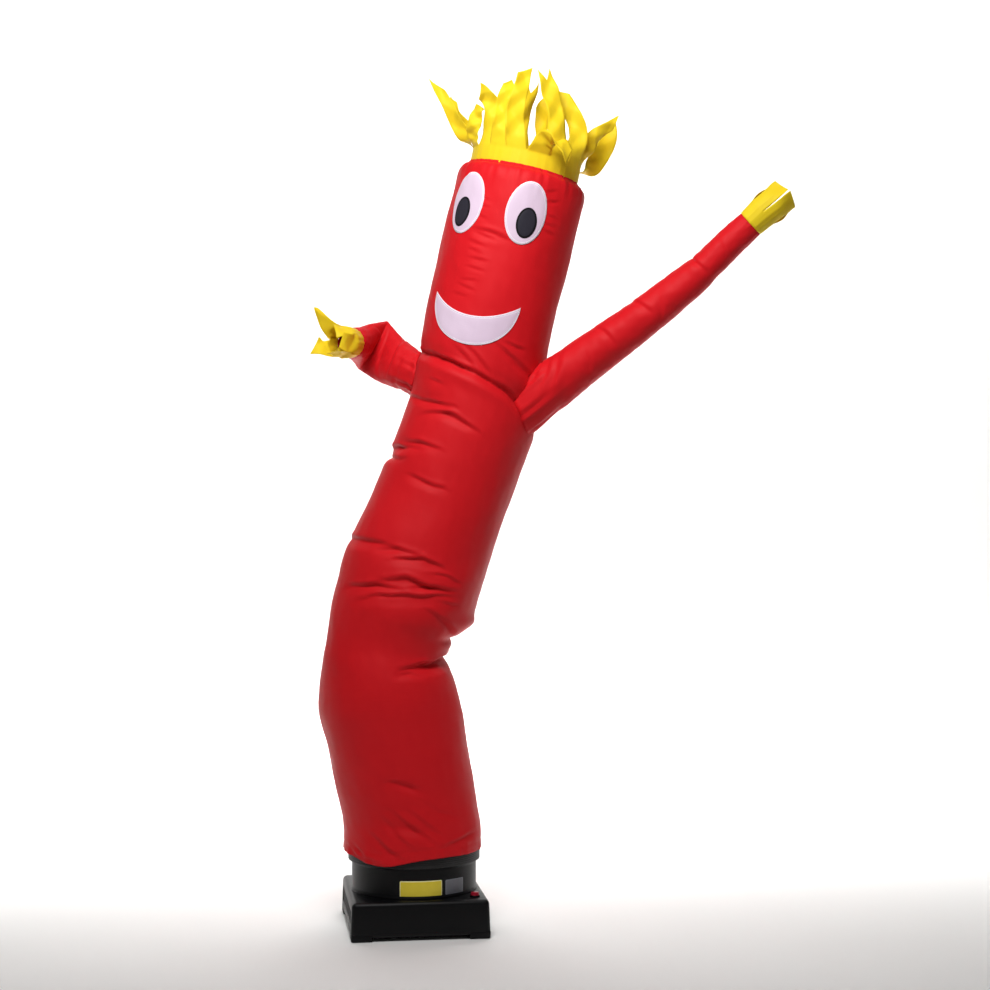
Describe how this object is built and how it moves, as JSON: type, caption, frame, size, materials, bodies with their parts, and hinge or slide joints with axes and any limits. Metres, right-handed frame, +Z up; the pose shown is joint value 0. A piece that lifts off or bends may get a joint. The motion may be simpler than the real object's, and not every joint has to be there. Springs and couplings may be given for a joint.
{
  "type": "inflatable air dancer",
  "caption": "Inflatable air dancer: a bent nylon tube figure with a sewn face, two arms and cut strips for hair and hands, standing on its blower.",
  "frame": {"origin": "on the floor under the middle of the whole object's box", "axes": "+Z up; the blower's front, with its two plates, faces -Y; the dancer's raised arm reaches to +X"},
  "size_m": [1.13, 0.5416, 2.0963],
  "materials": {
    "red_nylon": "thin ripstop nylon, dyed red",
    "yellow_nylon": "thin ripstop nylon, dyed yellow",
    "white_nylon": "white nylon patch with a lilac cast",
    "black_nylon": "black nylon patch",
    "black_webbing": "touch-fastening webbing",
    "black_plastic": "moulded, finely grained",
    "red_plastic": "smooth moulding",
    "yellow_film": "satin film",
    "grey_film": "satin film"
  },
  "bodies": {
    "dancer": {"body_tube": "red_nylon", "sleeve_left": "red_nylon", "sleeve_right": "red_nylon", "hair": "yellow_nylon", "hand_left": "yellow_nylon", "hand_right": "yellow_nylon", "eye_left": "white_nylon", "eye_right": "white_nylon", "mouth": "white_nylon", "pupil_left": "black_nylon", "pupil_right": "black_nylon", "fastening_strap": "black_webbing", "blower_base": "black_plastic", "blower_drum": "black_plastic", "outlet_guard": "black_plastic", "switch_bezel": "black_plastic", "plate_yellow": "yellow_film", "plate_grey": "grey_film"},
    "rocker": {"switch_rocker": "red_plastic"}
  },
  "joints": [
    {"name": "rocker_hinge", "type": "hinge", "parent": "dancer", "child": "rocker", "pos_m": [-0.172, -0.051, 0.095], "axis": [1, 0, 0], "range_deg": [0, 14]}
  ]
}
